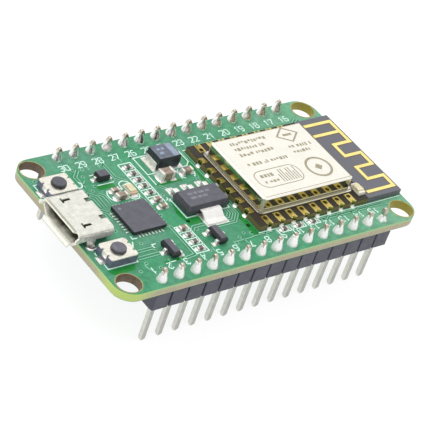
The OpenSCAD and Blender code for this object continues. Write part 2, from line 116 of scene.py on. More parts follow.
MASK_GREEN = (0.033, 0.265, 0.118)
CLOUD_GREEN = (0.105, 0.285, 0.195)
PALE_GREEN = (0.20, 0.44, 0.28)
# Painted light on the main board's cut edge, along its top and at its front left corner.
PAINTED_RIM_LIGHT = (0.30, 0.56, 0.22)
PAINTED_CORNER_LIGHT = (0.46, 0.62, 0.14)
GLASS_TAN = (0.42, 0.37, 0.25)
HOLE_BROWN = (0.115, 0.075, 0.038)
HOLE_OLIVE = (0.30, 0.26, 0.02)
MODULE_BLACK = (0.026, 0.020, 0.015)
MODULE_EDGE = (0.17, 0.135, 0.052)
AERIAL_GREY = (0.13, 0.13, 0.155)
CAN_SILVER = (0.97, 0.95, 0.865)
# Painted reflection of the board on the can's walls.
PAINTED_WALL_REFLECTION = (0.54, 0.52, 0.34)
CAN_CORNER = (0.46, 0.43, 0.33)
CAN_FOOT = (0.5, 0.48, 0.45)
CAN_FOOT_END = (0.24, 0.22, 0.21)
CAN_RIM_FACE = (0.15, 0.135, 0.09)
CAN_RIM_SHADE = (0.17, 0.155, 0.10)
SHELL_SILVER = (0.83, 0.825, 0.76)
SHELL_SHADE = (0.12, 0.13, 0.11)
UPPER_LIP = (0.88, 0.86, 0.73)
LOWER_LIP = (0.70, 0.69, 0.60)
MOUTH_CREAM = (0.78, 0.76, 0.67)
MOUTH_DARK = (0.05, 0.05, 0.035)
MOUTH_GREY = (0.14, 0.145, 0.11)
PAD_GOLD = (0.70, 0.56, 0.17)
PIN_SILVER = (0.66, 0.655, 0.61)
PIN_BROWN = (0.60, 0.50, 0.37)
CASE_CREAM = (0.80, 0.77, 0.66)
END_BROWN = (0.50, 0.28, 0.12)

# ---- materials

BUMP_STRENGTH = 0.6
MASK_SHEEN = 0.3


def shade(color, factor):
    return tuple(min(1.0, c * factor) for c in color)


class Finish:
    """A Principled material, built up from noise for its colour, roughness and bump."""

    def __init__(self, name, color, roughness, metallic=0.0, mottle=0.15, patch=1.5,
                 grain=0.12, bump=0.006, **sockets):
        self.mat = bpy.data.materials.new(name)
        self.mat.use_nodes = True
        self.tree = self.mat.node_tree
        self.bsdf = self.tree.nodes["Principled BSDF"]
        self.bsdf.inputs["Metallic"].default_value = metallic
        for socket, value in sockets.items():
            self.bsdf.inputs[socket.replace("_", " ")].default_value = value
        self.coords = self.node("ShaderNodeTexCoord").outputs["Object"]
        self.color = self.varied_color(color, mottle, patch)
        self.link(self.color, self.bsdf.inputs["Base Color"])
        fine = self.noise(grain, detail=3.0)
        smudges = self.spread(self.noise(patch * 0.6), roughness * 0.8, roughness * 1.25)
        self.link(smudges, self.bsdf.inputs["Roughness"])
        self.bump_node = self.node("ShaderNodeBump")
        self.bump_node.inputs["Strength"].default_value = BUMP_STRENGTH
        self.bump_node.inputs["Distance"].default_value = bump * MM
        self.link(fine, self.bump_node.inputs["Height"])
        self.link(self.bump_node.outputs[0], self.bsdf.inputs["Normal"])

    def node(self, kind, **values):
        node = self.tree.nodes.new(kind)
        for key, value in values.items():
            setattr(node, key, value)
        return node

    def link(self, out, into):
        self.tree.links.new(out, into)

    def noise(self, size, detail=2.0, stretch=(1, 1, 1)):
        """Noise whose features are about size millimetres across."""
        mapping = self.node("ShaderNodeMapping")
        mapping.inputs["Scale"].default_value = stretch
        self.link(self.coords, mapping.inputs["Vector"])
        tex = self.node("ShaderNodeTexNoise")
        tex.inputs["Scale"].default_value = 1 / (size * MM)
        tex.inputs["Detail"].default_value = detail
        self.link(mapping.outputs[0], tex.inputs["Vector"])
        return tex.outputs["Fac"]

    def ramp(self, value, start, end, low=0.0, high=1.0):
        """Runs from low to high while the value runs from start to end."""
        node = self.node("ShaderNodeMapRange")
        ends = {"From Min": start, "From Max": end, "To Min": low, "To Max": high}
        for socket, number in ends.items():
            node.inputs[socket].default_value = number
        self.link(value, node.inputs["Value"])
        return node.outputs[0]

    def spread(self, noise, low, high):
        """Noise stretched from its usual range to low and high."""
        return self.ramp(noise, 0.3, 0.7, low, high)

    def mix(self, factor, a, b):
        node = self.node("ShaderNodeMix", data_type="RGBA")
        self.link(factor, node.inputs[0])
        for socket, value in ((node.inputs[6], a), (node.inputs[7], b)):
            if isinstance(value, tuple):
                socket.default_value = (*value, 1)
            else:
                self.link(value, socket)
        return node.outputs[2]

    def varied_color(self, color, mottle, patch):
        factor = self.spread(self.noise(patch, detail=4.0), 0.0, 1.0)
        return self.mix(factor, shade(color, 1 - mottle), shade(color, 1 + mottle))

    def math(self, operation, a, b):
        node = self.node("ShaderNodeMath", operation=operation)
        for socket, value in zip(node.inputs, (a, b)):
            if isinstance(value, (int, float)):
                socket.default_value = value
            else:
                self.link(value, socket)
        return node.outputs[0]

    def both(self, a, b):
        """Where two masks overlap, or one mask made weaker by a number."""
        return self.math("MULTIPLY", a, b)

    def either(self, a, b):
        return self.math("MAXIMUM", a, b)

    def outside(self, mask):
        return self.math("SUBTRACT", 1.0, mask)

    def axis(self, letter):
        node = self.node("ShaderNodeSeparateXYZ")
        self.link(self.coords, node.inputs[0])
        return node.outputs[letter]

    def along(self, letter, start, end, low=0.0, high=1.0):
        """Runs from low to high between two places on an axis, in millimetres."""
        return self.ramp(self.axis(letter), start * MM, end * MM, low, high)

    def between(self, letter, low, high):
        """1 where the coordinate lies between two values in millimetres."""
        value = self.axis(letter)
        above = self.math("GREATER_THAN", value, low * MM)
        return self.both(above, self.math("LESS_THAN", value, high * MM))

    def facing(self, letter):
        """How far the surface faces along an axis, either way: 0 to 1."""
        node = self.node("ShaderNodeSeparateXYZ")
        self.link(self.node("ShaderNodeTexCoord").outputs["Normal"], node.inputs[0])
        return self.math("ABSOLUTE", node.outputs[letter], 0)

    def recolor(self, color):
        self.color = color
        self.link(color, self.bsdf.inputs["Base Color"])
        return self

    def blend_in(self, factor, color):
        return self.recolor(self.mix(factor, self.color, color))

    def shade_by(self, factor):
        node = self.node("ShaderNodeMix", data_type="RGBA", blend_type="MULTIPLY")
        node.inputs[0].default_value = 1.0
        self.link(self.color, node.inputs[6])
        self.link(factor, node.inputs[7])
        return self.recolor(node.outputs[2])

    def dull_where(self, mask):
        """Takes the metal's mirror away under a mask."""
        self.link(self.outside(mask), self.bsdf.inputs["Metallic"])


def laminate(name, mask_color, edge_color, low, high, roughness):
    """Solder mask, with a mask and a colour ready for the bare glass laminate of the cut edges."""
    skin = 0.05
    finish = Finish(name, mask_color, roughness, mottle=0.16, patch=2.2, grain=0.35,
                    bump=0.004, Specular_IOR_Level=MASK_SHEEN)
    fibre = finish.spread(finish.noise(0.25, detail=4.0, stretch=(1, 1, 3)), 0.0, 1.0)
    finish.edge_color = finish.mix(fibre, shade(edge_color, 0.8), shade(edge_color, 1.15))
    finish.cut = finish.between("Z", low + skin, high - skin)
    return finish


def main_laminate():
    """The main board: two greens in broad clouds, paler to the right, with painted light on its cut rim and
    corner.
    """
    finish = laminate("green_laminate", MASK_GREEN, GLASS_TAN, BOARD_LOW.z, TOP, 0.36)
    clouds = finish.spread(finish.noise(7.0, detail=3.0), 0.0, 0.85)
    finish.blend_in(clouds, CLOUD_GREEN)
    finish.blend_in(finish.along("X", 4, 26, 0.0, 0.75), PALE_GREEN)
    finish.shade_by(finish.spread(finish.noise(0.55, detail=4.0), 0.84, 1.12))
    # Painted light: the cut edge is painted a lighter green along its top and lime at its front left
    # corner, where light comes through the laminate.
    rim = finish.along("Z", TOP - 0.55, TOP - 0.2, 0.0, 0.85)
    edge = finish.mix(rim, finish.edge_color, PAINTED_RIM_LIGHT)
    corner = finish.both(finish.along("X", -19, -22, 0.0, 0.8), finish.along("Y", -6.5, -9.5))
    return finish.blend_in(finish.cut, finish.mix(corner, edge, PAINTED_CORNER_LIGHT)).mat


def module_laminate():
    """The radio module's board: dark, and greyer under the aerial, where no copper backs it."""
    finish = laminate("dark_laminate", MODULE_BLACK, MODULE_EDGE, MODULE_LOW.z, MODULE_TOP, 0.38)
    finish.blend_in(finish.cut, finish.edge_color)
    aerial_zone = finish.between("X", CAN_HIGH.x + 1.3, MODULE_HIGH.x + 1)
    return finish.blend_in(aerial_zone, AERIAL_GREY).mat


def metal_finish(name, color, roughness, mottle=0.06, metallic=1.0, patch=0.8, **extra):
    """Metal with faint directional rubbing over its mottle."""
    finish = Finish(name, color, roughness, metallic=metallic, mottle=mottle, patch=patch, **extra)
    rub = finish.noise(0.06, stretch=(0.15, 1, 1))
    return finish.shade_by(finish.spread(rub, 0.92, 1.0))


def metal(*values, **extra):
    return metal_finish(*values, **extra).mat


def dulled(name, color, roughness, dull=0.5, **extra):
    """Metal that is less mirror-like down its sides."""
    finish = metal_finish(name, color, roughness, **extra)
    shine = finish.ramp(finish.facing("Z"), 0.3, 0.8, 1.0 - dull, 1.0)
    finish.link(shine, finish.bsdf.inputs["Metallic"])
    return finish.mat


def moulded(name, color, roughness, side, **extra):
    """Moulded plastic, matt, with painted shade: its sides are painted darker than its top."""
    finish = Finish(name, color, roughness, grain=0.08, bump=0.01, **extra)
    return finish.shade_by(finish.ramp(finish.facing("Z"), 0.35, 0.9, side, 1.0)).mat


def can_steel():
    """The shield can: mirror-like, with a painted olive reflection down its walls, duller at its corners
    and foot.
    """
    finish = metal_finish("shield_can", CAN_SILVER, 0.12, mottle=0.03, patch=1.2, grain=0.5,
                          bump=0.0006)
    foot = finish.between("Z", MODULE_TOP - 0.1, MODULE_TOP + 0.25)
    # Painted reflection: the walls are painted olive, as they would mirror the board.
    wall = finish.both(finish.ramp(finish.facing("Z"), 0.5, 0.1), finish.outside(foot))
    finish.blend_in(wall, PAINTED_WALL_REFLECTION)
    corner = finish.ramp(finish.both(finish.facing("X"), finish.facing("Y")), 0.08, 0.4)
    finish.blend_in(finish.both(corner, 0.8), CAN_CORNER)
    stains = finish.spread(finish.noise(1.6), 0.0, 0.3)
    finish.blend_in(finish.both(foot, stains), CAN_FOOT)
    left_end = finish.along("X", CAN_LOW.x + 1.0, CAN_LOW.x + 0.3, 0.0, 0.75)
    finish.blend_in(finish.both(foot, left_end), CAN_FOOT_END)
    shaded = shade_can_rim(finish, foot)
    finish.dull_where(finish.either(finish.both(corner, 0.8), finish.both(shaded, 0.7)))
    return finish.mat


def shade_can_rim(finish, foot):
    """Shade gathers where the rim meets the walls, and only its lip catches the light."""
    rim_face = finish.both(foot, finish.ramp(finish.facing("Z"), 0.7, 0.3))
    finish.blend_in(finish.both(rim_face, 0.75), CAN_RIM_FACE)
    lip, fillet = 0.17, 0.42
    front = finish.between("Y", CAN_LOW.y + lip, CAN_LOW.y + fillet)
    left = finish.between("X", CAN_LOW.x + lip, CAN_LOW.x + fillet)
    shaded = finish.both(foot, finish.either(front, left))
    finish.blend_in(finish.both(shaded, 0.8), CAN_RIM_SHADE)
    return finish.either(shaded, rim_face)


def shell_steel():
    """The USB shell: bright outside, cream at its lips, pale at the mouth and dark further in."""
    finish = metal_finish("usb_steel", SHELL_SILVER, 0.24, mottle=0.12, patch=0.55, grain=0.5,
                          bump=0.0012)
    inside = darken_mouth(finish)
    side = finish.ramp(finish.facing("Z"), 0.5, 0.15)
    lips = finish.between("X", USB_LOW.x - 1, USB_LOW.x + USB_LIP)
    upper_lip = finish.both(lips, finish.between("Z", USB_ROOF - 0.2, USB_ROOF + 1))
    lower_lip = finish.both(lips, finish.between("Z", TOP - 1, TOP + 0.3))
    finish.blend_in(upper_lip, UPPER_LIP)
    finish.blend_in(lower_lip, LOWER_LIP)
    dull = finish.either(finish.both(inside, 0.95), finish.both(side, 0.45))
    finish.dull_where(finish.either(dull, finish.both(lower_lip, 0.8)))
    smoother = finish.ramp(side, 0.0, 1.0, BUMP_STRENGTH, 0.12)
    finish.link(smoother, finish.bump_node.inputs["Strength"])
    # The walls draw in towards the board, where little light reaches them.
    low = finish.along("Z", TOP + 0.9, TOP + 0.25, 0.0, 0.8)
    outer_side = finish.both(side, finish.outside(inside))
    back = finish.along("X", USB_LOW.x + 1.2, USB_LOW.x + 2.0)
    return finish.blend_in(finish.both(finish.both(low, outer_side), back), SHELL_SHADE).mat


def darken_mouth(finish):
    """Colours the shell's inside, from cream at the mouth to patchy shade, and returns its mask."""
    wall = 0.12
    # The lips flare out by 0.28 mm beyond the walls, which are 0.25 mm thick.
    inset = 0.52
    inside = finish.both(finish.between("Z", TOP + wall, USB_ROOF - wall),
                         finish.between("Y", USB_LOW.y + inset, USB_HIGH.y - inset))
    patches = finish.spread(finish.noise(1.1), -0.35, 0.35)
    depth = finish.along("X", USB_LOW.x + 0.8, USB_LOW.x + 1.7)
    depth = finish.ramp(finish.math("ADD", depth, patches), 0.0, 1.0)
    gloom = finish.mix(finish.spread(finish.noise(0.7), 0.0, 1.0), MOUTH_DARK, MOUTH_GREY)
    finish.blend_in(inside, finish.mix(depth, MOUTH_CREAM, gloom))
    return inside


def module_gold():
    """The module's gold pads, with painted shadow darkening those along its left end."""
    finish = metal_finish("module_gold", PAD_GOLD, 0.28, mottle=0.12, grain=0.15)
    end = MODULE_LOW.x + 1.7
    # Painted shadow: the pads at the left end are painted darker.
    return finish.shade_by(finish.along("X", end, end + 0.3, 0.55, 1.0)).mat


def led_case():
    """The power LED's base: cream, with one end brown."""
    finish = Finish("power_led_case", CASE_CREAM, 0.4, mottle=0.12)
    return finish.blend_in(finish.along("Y", 2.95, 2.75, 0.0, 0.75), END_BROWN).mat


def hole_wall():
    """Drilled laminate: brown at the left of the board, olive at the right."""
    finish = Finish("hole_wall", HOLE_BROWN, 0.4, mottle=0.35, patch=0.5, grain=0.1, bump=0.02)
    return finish.blend_in(finish.along("X", -5, 5), HOLE_OLIVE).mat


def pin_metal():
    """Tinned brass pins: painted shade on two sides, and browned by the iron above the solder."""
    finish = Finish("tinned_pin", PIN_SILVER, 0.32, metallic=1.0, mottle=0.08, patch=0.5, grain=0.2)
    # Painted shade: faces that face along Y are painted darker.
    finish.shade_by(finish.ramp(finish.facing("Y"), 0.5, 0.9, 1.0, 0.66))
    burnt = finish.between("Z", TOP + 1.15, TOP + 3)
    patches = finish.spread(finish.noise(0.25), 0.1, 1.0)
    return finish.blend_in(finish.both(burnt, patches), PIN_BROWN).mat


def solder_mask(name, color, mottle=0.15):
    return Finish(name, color, 0.32, mottle=mottle, Specular_IOR_Level=MASK_SHEEN).mat


board_mask = main_laminate()
module_mask = module_laminate()
track_green = solder_mask("masked_copper", (0.20, 0.47, 0.32), mottle=0.1)
deep_green = solder_mask("deeper_green_mask", (0.010, 0.205, 0.032))
gap_green = solder_mask("mask_gap", (0.018, 0.165, 0.075))
silk_white = Finish("white_legend", (0.66, 0.88, 0.80), 0.6, mottle=0.1, patch=0.3, bump=0.01).mat
via_dark = Finish("via_plug", (0.006, 0.05, 0.02), 0.4, mottle=0.2).mat
power_led_case = led_case()
hole_resin = hole_wall()
rim_resin = Finish("hole_rim", (0.34, 0.30, 0.11), 0.5, mottle=0.35, patch=0.6).mat
header_black = Finish("header_plastic", (0.050, 0.050, 0.075), 0.42, mottle=0.14, bump=0.012).mat
pin_tin = pin_metal()
solder_tin = metal("bright_solder", (0.92, 0.91, 0.895), 0.20, grain=0.6)
satin_solder = metal("satin_solder", (0.86, 0.86, 0.83), 0.3, metallic=0.55, grain=0.4, bump=0.008)
# The front row's solder is a lit copy of the solder: painted brighter and less mirror-like, for a painted
# reflection.
white_solder = metal("white_solder", (0.98, 0.97, 0.96), 0.3, metallic=0.35, grain=0.6, bump=0.004)
dull_tin = metal("dull_tin", (0.66, 0.70, 0.66), 0.4, grain=0.15)
lead_tin = dulled("tinned_lead", (0.90, 0.89, 0.86), 0.28, grain=0.15)
brushed_tin = metal("brushed_tin", (0.93, 0.92, 0.90), 0.48, mottle=0.05, grain=0.1, bump=0.004)
fired_tin = dulled("fired_tin", (0.80, 0.76, 0.71), 0.45, dull=0.7, mottle=0.22, patch=0.3, bump=0.01)
pad_gold = metal("gold_pad", PAD_GOLD, 0.28, mottle=0.12, grain=0.15)
aerial_gold = Finish("aerial_gold", (0.92, 0.78, 0.27), 0.38, metallic=0.4, mottle=0.08).mat
aerial_rim = Finish("aerial_rim", (0.20, 0.13, 0.05), 0.45, mottle=0.2, patch=0.4).mat
can_metal = can_steel()
# Painted shade for the lid's fold.
painted_crease_shade = Finish("lid_crease", (0.36, 0.30, 0.18), 0.5, metallic=0.3, mottle=0.25, patch=0.5).mat
etch = Finish("etched_mark", (0.37, 0.335, 0.24), 0.55, metallic=0.4, mottle=0.2, patch=0.3).mat
usb_steel = shell_steel()
switch_steel = dulled("switch_steel", (0.90, 0.87, 0.78), 0.27, dull=0.7, mottle=0.12, patch=0.35,
                      grain=0.3, bump=0.005)
spring_steel = metal("spring_steel", (0.75, 0.74, 0.70), 0.22, grain=0.2)
# In these plastics, side sets how dark the painted shade down their sides is.
epoxy = moulded("chip_epoxy", (0.088, 0.088, 0.112), 0.44, side=0.2, mottle=0.14, patch=0.7)
thick_epoxy = moulded("thick_epoxy", (0.090, 0.090, 0.115), 0.42, side=0.6, mottle=0.14, patch=0.7)
epoxy_mark = Finish("chip_mark", (0.18, 0.185, 0.22), 0.55, mottle=0.2, patch=0.25).mat
tantalum_epoxy = moulded("tantalum_epoxy", (0.115, 0.135, 0.175), 0.36, side=0.2, mottle=0.25, patch=0.6)
tantalum_mark = Finish("polarity_band", (0.25, 0.31, 0.41), 0.5, mottle=0.15, patch=0.4).mat
inner_plastic = Finish("dark_insulator", (0.14, 0.135, 0.115), 0.5).mat
switch_grey = Finish("switch_plastic", (0.12, 0.13, 0.19), 0.45, mottle=0.25, patch=0.5).mat
button_grey = moulded("button_plastic", (0.125, 0.12, 0.15), 0.30, side=0.4, mottle=0.3, patch=0.9)
dome_black = moulded("dark_button", (0.075, 0.075, 0.098), 0.25, side=0.25, mottle=0.2)
ceramic_brown = Finish("fired_ceramic", (0.27, 0.215, 0.165), 0.42, mottle=0.45, patch=0.3).mat
resistor_film = Finish("resistor_film", (0.13, 0.12, 0.12), 0.35, mottle=0.2, patch=0.3).mat
led_white = Finish("led_housing", CASE_CREAM, 0.4, mottle=0.1).mat
led_resin = Finish("led_resin", (0.86, 0.78, 0.52), 0.15, mottle=0.1, Transmission_Weight=0.2).mat


# ---- mesh tools

# These keep the mitre of a sharp corner short: it reaches at most 1 / 0.5 or 1 / 0.4 times as far.
RIBBON_MITRE = 0.5
PATH_MITRE = 0.4


def finish_mesh(bm, name, mat, body="board", sharp=32):
    """Turns millimetre geometry into an object that rides on a body."""
    bmesh.ops.recalc_face_normals(bm, faces=bm.faces)
    bmesh.ops.scale(bm, vec=(MM,) * 3, verts=bm.verts)
    mesh = bpy.data.meshes.new(name)
    bm.to_mesh(mesh)
    bm.free()
    mesh.shade_smooth()
    mesh.set_sharp_from_angle(angle=math.radians(sharp))
    mesh.materials.append(mat)
    obj = bpy.data.objects.new(name, mesh)
    bpy.context.scene.collection.objects.link(obj)
    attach(obj, body)
    return obj


def piece(name, mat, slot, draw, *values, sharp=32):
    """A piece of the board, drawn by a function into an empty mesh."""
    bm = bmesh.new()
    draw(bm, *values)
    return finish_mesh(bm, name, mat, sharp=sharp)


def node_bmesh(node):
    """A CAD node's mesh in millimetres, welded, with its flat faces whole again."""
    weld = 2e-4
    flat = math.radians(0.8)
    bm = bmesh.new()
    bm.from_mesh(CAD[node].data)
    bmesh.ops.scale(bm, vec=(1 / MM,) * 3, verts=bm.verts)
    bmesh.ops.remove_doubles(bm, verts=bm.verts, dist=weld)
    bmesh.ops.dissolve_limit(bm, angle_limit=flat, verts=bm.verts, edges=bm.edges)
    return bm


def islands(node):
    """The lowest and highest corners of each separate solid in a node, and its vertices."""
    bm = node_bmesh(node)
    seen, found = set(), []
    for start in bm.verts:
        if start in seen:
            continue
        stack, group = [start], []
        seen.add(start)
        while stack:
            vert = stack.pop()
            group.append(vert.co.copy())
            for edge in vert.link_edges:
                other = edge.other_vert(vert)
                if other not in seen:
                    seen.add(other)
                    stack.append(other)
        low = Vector([min(co[k] for co in group) for k in range(3)])
        high = Vector([max(co[k] for co in group) for k in range(3)])
        found.append((low, high, group))
    bm.free()
    return sorted(found, key=lambda item: (round(item[0].x, 2), round(item[0].y, 2)))


def repaint(mat, *nodes):
    """Gives CAD nodes that keep their own mesh a better material."""
    for node in nodes:
        for material_slot in CAD[node].material_slots:
            material_slot.material = mat


def soften(mat, width, *nodes, segments=2, angle=28):
    """Stands in for CAD nodes with copies whose hard edges are rounded off."""
    for node in nodes:
        bm = node_bmesh(node)
        hard = [e for e in bm.edges if e.is_manifold and e.calc_face_angle(0) > math.radians(angle)]
        bmesh.ops.bevel(bm, geom=hard, offset=width, segments=segments, profile=0.5,
                        affect="EDGES", clamp_overlap=True)
        detail = finish_mesh(bm, node + "_detail", mat, CAD[node]["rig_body"])
        # Flat faces keep flat shading next to their rounded edges.
        normals = detail.modifiers.new("face_weighted", "WEIGHTED_NORMAL")
        normals.keep_sharp = True
        normals.weight = 100
        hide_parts(node)


def outline_of(node):
    """The corners, in order, of a node's largest upward face."""
    bm = node_bmesh(node)
    face = max((f for f in bm.faces if f.normal.z > 0.99), key=lambda f: f.calc_area())
    loop = [(v.co.x, v.co.y) for v in face.verts]
    bm.free()
    return loop


def skin(bm, rows):
    """Joins each closed row of vertices to the next one with faces."""
    for a, b in zip(rows, rows[1:]):
        n = len(a)
        for k in range(n):
            bm.faces.new((a[k], a[(k + 1) % n], b[(k + 1) % n], b[k]))


def left_of(direction):
    return Vector((-direction.y, direction.x))


def ribbon(bm, points, width, z0, z1, closed=False):
    """A flat line of even width with mitred corners, from height z0 to z1."""
    pts = [Vector(p) for p in points]
    count = len(pts)
    rows = []
    for i, p in enumerate(pts):
        into = p - pts[i - 1] if closed or i > 0 else pts[i + 1] - p
        out = pts[(i + 1) % count] - p if closed or i < count - 1 else into
        into, out = into.normalized(), out.normalized()
        along = (into + out).normalized()
        side = left_of(along)
        reach = width / 2 / max(RIBBON_MITRE, side.dot(left_of(into)))
        corners = ((1, z0), (1, z1), (-1, z1), (-1, z0))
        rows.append([bm.verts.new((*(p + side * reach * s), z)) for s, z in corners])
    skin(bm, rows + rows[:1] if closed else rows)
    if not closed:
        bm.faces.new(rows[0])
        bm.faces.new(reversed(rows[-1]))


def plate(bm, outline, z0, z1):
    """A closed slab over an outline."""
    low = [bm.verts.new((x, y, z0)) for x, y in outline]
    high = [bm.verts.new((x, y, z1)) for x, y in outline]
    bm.faces.new(high)
    bm.faces.new(reversed(low))
    for i in range(len(outline)):
        j = (i + 1) % len(outline)
        bm.faces.new((low[i], low[j], high[j], high[i]))


def rectangle(x0, y0, x1, y1):
    return [(x0, y0), (x1, y0), (x1, y1), (x0, y1)]


def arc(cx, cy, r, start, end, steps):
    turn = [math.radians(start + (end - start) * i / steps) for i in range(steps + 1)]
    return [(cx + r * math.cos(a), cy + r * math.sin(a)) for a in turn]


def ring(cx, cy, r, steps):
    return arc(cx, cy, r, 0, 360, steps)[:-1]


def rounded(x0, y0, x1, y1, r):
    steps = 4
    return (arc(x1 - r, y1 - r, r, 0, 90, steps) + arc(x0 + r, y1 - r, r, 90, 180, steps)
            + arc(x0 + r, y0 + r, r, 180, 270, steps) + arc(x1 - r, y0 + r, r, 270, 360, steps))


def offset_path(points, distance):
    """The same path, moved sideways: each corner stays a corner."""
    pts = [Vector(p) for p in points]
    moved = []
    for i, p in enumerate(pts):
        into = (p - pts[i - 1]).normalized() if i else (pts[1] - p).normalized()
        out = (pts[i + 1] - p).normalized() if i < len(pts) - 1 else into
        side = left_of(into + out).normalized()
        moved.append(tuple(p + side * distance / max(PATH_MITRE, side.dot(left_of(into)))))
    return moved


# ---- board artwork


def over(thickness):
    """The heights of a layer on the board's upper face."""
    return TOP, TOP + thickness


def under(thickness):
    return BOARD_LOW.z - thickness, BOARD_LOW.z


TRACK_W = 0.16
GAP_W = 0.34
SILK_W = 0.14
MARK_W = 0.16
DARK_Z = over(0.008)
GAP_Z = over(0.011)
RIM_Z = over(0.012)
TRACK_Z = over(0.016)
SILK_Z = over(0.026)
PAD_Z = over(0.034)
VIA_R = 0.26
VIA_PLUG_R = 0.13

# Each bus is (path of its first line, number of lines, spacing).
TOP_BUSES = [
    ([(-0.7, -0.9), (-0.7, -4.4), (-2.0, -5.7), (-4.9, -5.7)], 5, -0.34),
    ([(-19.0, 1.1), (-18.2, 1.1), (-17.7, 0.6), (-17.7, -0.3), (-17.4, -0.6)], 3, 0.4),
    ([(-19.0, 4.9), (-17.6, 4.9), (-16.6, 3.9), (-16.6, 1.9)], 4, -0.42),
    ([(-11.5, -3.4), (-11.1, -3.8), (-11.1, -8.8), (-12.7, -9.0)], 2, 0.38),
    ([(-12.2, 9.2), (-12.2, 6.4), (-11.2, 5.4), (-11.2, 1.5)], 2, -0.38),
    ([(-16.5, 9.0), (-17.6, 7.9), (-17.6, 5.6)], 2, 0.4),
    ([(-8.1, 9.2), (-8.1, 8.9), (-0.9, 8.9), (-0.9, 6.0)], 1, 0),
    ([(-8.5, -5.4), (-8.0, -4.9), (-5.9, -4.9)], 2, 0.4),
    ([(-0.7, 8.8), (-0.7, 1.0)], 2, 0.34),
    ([(-4.6, -8.7), (-1.9, -8.7), (-1.6, -8.6), (1.6, -8.6)], 1, 0),
    ([(9.3, -8.6), (19.5, -8.6), (21.0, -9.2)], 2, -0.36),
    ([(1.0, 8.3), (18.6, 8.3), (19.6, 9.0)], 2, 0.36),
    ([(-22.7, 3.9), (-23.2, 3.4), (-23.2, -3.6)], 1, 0),
    ([(-18.1, -6.1), (-15.4, -6.1), (-15.0, -6.5)], 2, -0.4),
    ([(-18.4, -7.15), (-15.3, -7.15)], 2, -0.42),
    ([(-11.5, -3.0), (-11.0, -3.5), (-11.0, -3.9)], 1, 0),
    ([(-16.6, 6.9), (-17.7, 5.8), (-17.7, 3.9)], 1, 0),
    ([(-16.2, 4.4), (-15.6, 3.8), (-15.6, 2.2)], 2, -0.4),
    ([(-6.9, 1.6), (-6.9, 2.5), (-7.7, 3.3)], 2, 0.36),
    ([(-1.7, 1.2), (-1.7, 3.0)], 2, 0.36),
]
UNDER_BUSES = [
    ([(-17.8, -9.3), (-16.0, -7.5), (10.0, -7.5), (12.0, -9.3)], 4, 0.55),
    ([(-17.8, 9.3), (-14.5, 6.0), (4.0, 6.0), (7.4, 9.3)], 5, -0.55),
    ([(-19.0, -1.0), (-8.0, -1.0), (-5.0, 2.0), (15.0, 2.0)], 3, 0.6),
    ([(18.0, -9.0), (18.0, -4.0), (14.5, -0.5), (2.0, -0.5)], 3, 0.6),
]
VIAS = [
    (-18.4, 3.3), (-17.0, 9.0), (-16.4, 7.6), (-15.7, 8.8), (-16.7, 4.9), (-15.9, 5.6), (-18.2, -2.3),
    (-18.6, -4.4), (-17.9, -8.4), (-16.4, -5.2), (-12.6, 8.8), (-12.9, 6.0), (-11.0, 0.6), (-10.9, -1.6),
    (-8.1, -3.6), (-8.3, 1.6), (-8.6, -9.0), (-7.9, -5.2), (-4.4, -9.0), (-3.4, -8.2), (-2.4, -7.7),
    (-1.4, -8.0), (-1.7, 3.2), (-0.9, -6.7), (-2.8, 9.3), (-7.6, 9.3), (-10.4, 9.4), (-22.9, 8.6),
    (-19.4, -9.4), (-16.6, -9.6), (9.9, -8.9), (12.2, -9.2), (14.6, -8.9), (18.3, -9.1), (19.7, 8.8),
]
# Patches where the mask is a deeper green.
DEEP_PATCHES = [
    [(-8.7, -2.0), (-8.05, 0.0), (-8.05, -3.2), (-5.2, -3.2), (-5.9, -4.3), (-8.3, -4.3)],
    rectangle(-1.25, -8.6, -0.4, 8.6),
    [(-23.3, -8.0), (-19.3, -8.0), (-19.8, -8.9), (-22.9, -8.9)],
    rectangle(-15.8, 4.75, -13.3, 5.5),
    rectangle(-7.9, 3.2, -4.0, 3.6),
    rectangle(1.0, -8.45, 23.0, -8.15),
    rectangle(1.0, 7.98, 20.0, 8.2),
    rectangle(-15.6, -9.2, -12.6, -8.8),
]


def draw_buses(bm, buses, z, width):
    for path, count, spacing in buses:
        for k in range(count):
            ribbon(bm, offset_path(path, k * spacing), width, *z)


def draw_pin_tails(bm):
    """A short track leads inwards from each header pin and steps aside, left or right in turn."""
    start, end = PIN_ROW_Y - 1.0, PIN_ROW_Y - 2.9
    bend, bend_end, aside = start - 0.5, end + 0.6, 0.45
    for i in range(PIN_COUNT):
        x = pin_x(i)
        x_in = x + (aside if i % 2 else -aside)
        for side in (-1, 1):
            path = [(x, side * start), (x, side * bend), (x_in, side * bend_end), (x_in, side * end)]
            ribbon(bm, path, TRACK_W, *TRACK_Z)


def draw_tracks(bm):
    draw_buses(bm, TOP_BUSES, TRACK_Z, TRACK_W)
    draw_pin_tails(bm)


def draw_deep_patches(bm):
    for outline in DEEP_PATCHES:
        plate(bm, outline, *DARK_Z)


def draw_vias(bm, r, *layers):
    for z in layers:
        for x, y in VIAS:
            plate(bm, ring(x, y, r, 12), *z)


piece("masked_tracks", track_green, "board_laminate", draw_tracks)
piece("track_gaps", gap_green, "board_laminate", draw_buses, TOP_BUSES, GAP_Z, GAP_W)
piece("deep_mask_patches", deep_green, "board_laminate", draw_deep_patches)
piece("underside_tracks", track_green, "board_laminate", draw_buses, UNDER_BUSES, under(0.016), TRACK_W)
piece("via_rings", track_green, "board_laminate", draw_vias, VIA_R, DARK_Z, under(0.01))
piece("via_plugs", via_dark, "board_laminate", draw_vias, VIA_PLUG_R, over(0.02), under(0.02))

# ---- legends

